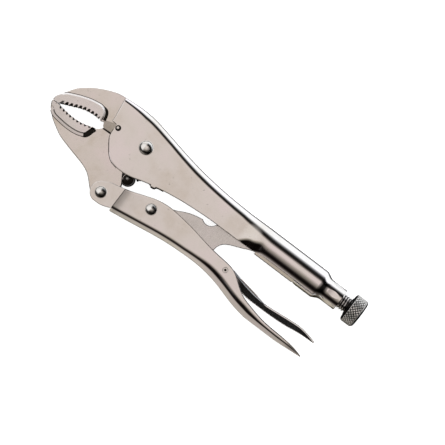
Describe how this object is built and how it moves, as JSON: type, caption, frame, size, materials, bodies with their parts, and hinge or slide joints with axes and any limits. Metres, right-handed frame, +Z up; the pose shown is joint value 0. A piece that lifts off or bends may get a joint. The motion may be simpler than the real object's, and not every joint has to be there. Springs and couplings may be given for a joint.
{
  "type": "locking pliers",
  "caption": "Curved-jaw locking pliers with wire cutter, toggle linkage, return spring, knurled adjusting screw and release lever, closed and locked.",
  "frame": {"origin": "centre of the underside of the tool's box as it lies on one flat side", "axes": "+X from the jaws to the adjusting knob along the screw, +Y towards the upper handle's back, +Z up through the tool's thickness"},
  "size_m": [0.2476, 0.0694, 0.0206],
  "materials": {
    "plated_steel": "bright nickel plating on pressed sheet",
    "forged_steel": "plated forging with ground faces",
    "turned_steel": "plated, turned and knurled",
    "spring_steel": "drawn wire"
  },
  "bodies": {
    "frame": {"upper_handle": "plated_steel", "upper_jaw": "forged_steel", "screw_nut": "turned_steel", "main_rivet": "plated_steel"},
    "jaw": {"lower_jaw": "forged_steel", "return_spring": "spring_steel"},
    "handle": {"lower_handle": "plated_steel", "jaw_rivet": "plated_steel", "link_rivet": "plated_steel", "lever_pin": "turned_steel"},
    "link": {"toggle_link": "plated_steel"},
    "lever": {"release_lever": "plated_steel"},
    "screw_carriage": {"screw_nose": "turned_steel"},
    "screw": {"screw_shank": "turned_steel", "screw_knob": "turned_steel"}
  },
  "joints": [
    {"name": "jaw_open", "type": "hinge", "parent": "frame", "child": "jaw", "pos_m": [-0.05525, 0.01535, 0.0103], "axis": [0, 0, 1], "range_deg": [0, 16], "deforming": ["return_spring"]},
    {"name": "handle_swing", "type": "hinge", "parent": "jaw", "child": "handle", "pos_m": [-0.06145, -0.02575, 0.0103], "axis": [0, 0, 1], "range_deg": [-58, 0]},
    {"name": "link_swing", "type": "hinge", "parent": "handle", "child": "link", "pos_m": [-0.02825, -0.01485, 0.0103], "axis": [0, 0, 1], "range_deg": [0, 58.6]},
    {"name": "lever_press", "type": "hinge", "parent": "handle", "child": "lever", "pos_m": [0.03475, -0.01715, 0.0103], "axis": [0, 0, 1], "range_deg": [-5, 0]},
    {"name": "screw_travel", "type": "slide", "parent": "frame", "child": "screw_carriage", "axis": [1, 0, 0], "range_m": [0, 0.012]},
    {"name": "screw_turn", "type": "hinge", "parent": "screw_carriage", "child": "screw", "pos_m": [0.09475, 0.01285, 0.0103], "axis": [1, 0, 0], "range_deg": [0, 2478.6]}
  ],
  "couplings": [
    {"joint": "handle_swing", "follows": "jaw_open", "ratio": -3.5938},
    {"joint": "link_swing", "follows": "jaw_open", "ratio": 3.6313},
    {"joint": "screw_turn", "follows": "screw_travel", "rad_per_m": 3590.4}
  ]
}
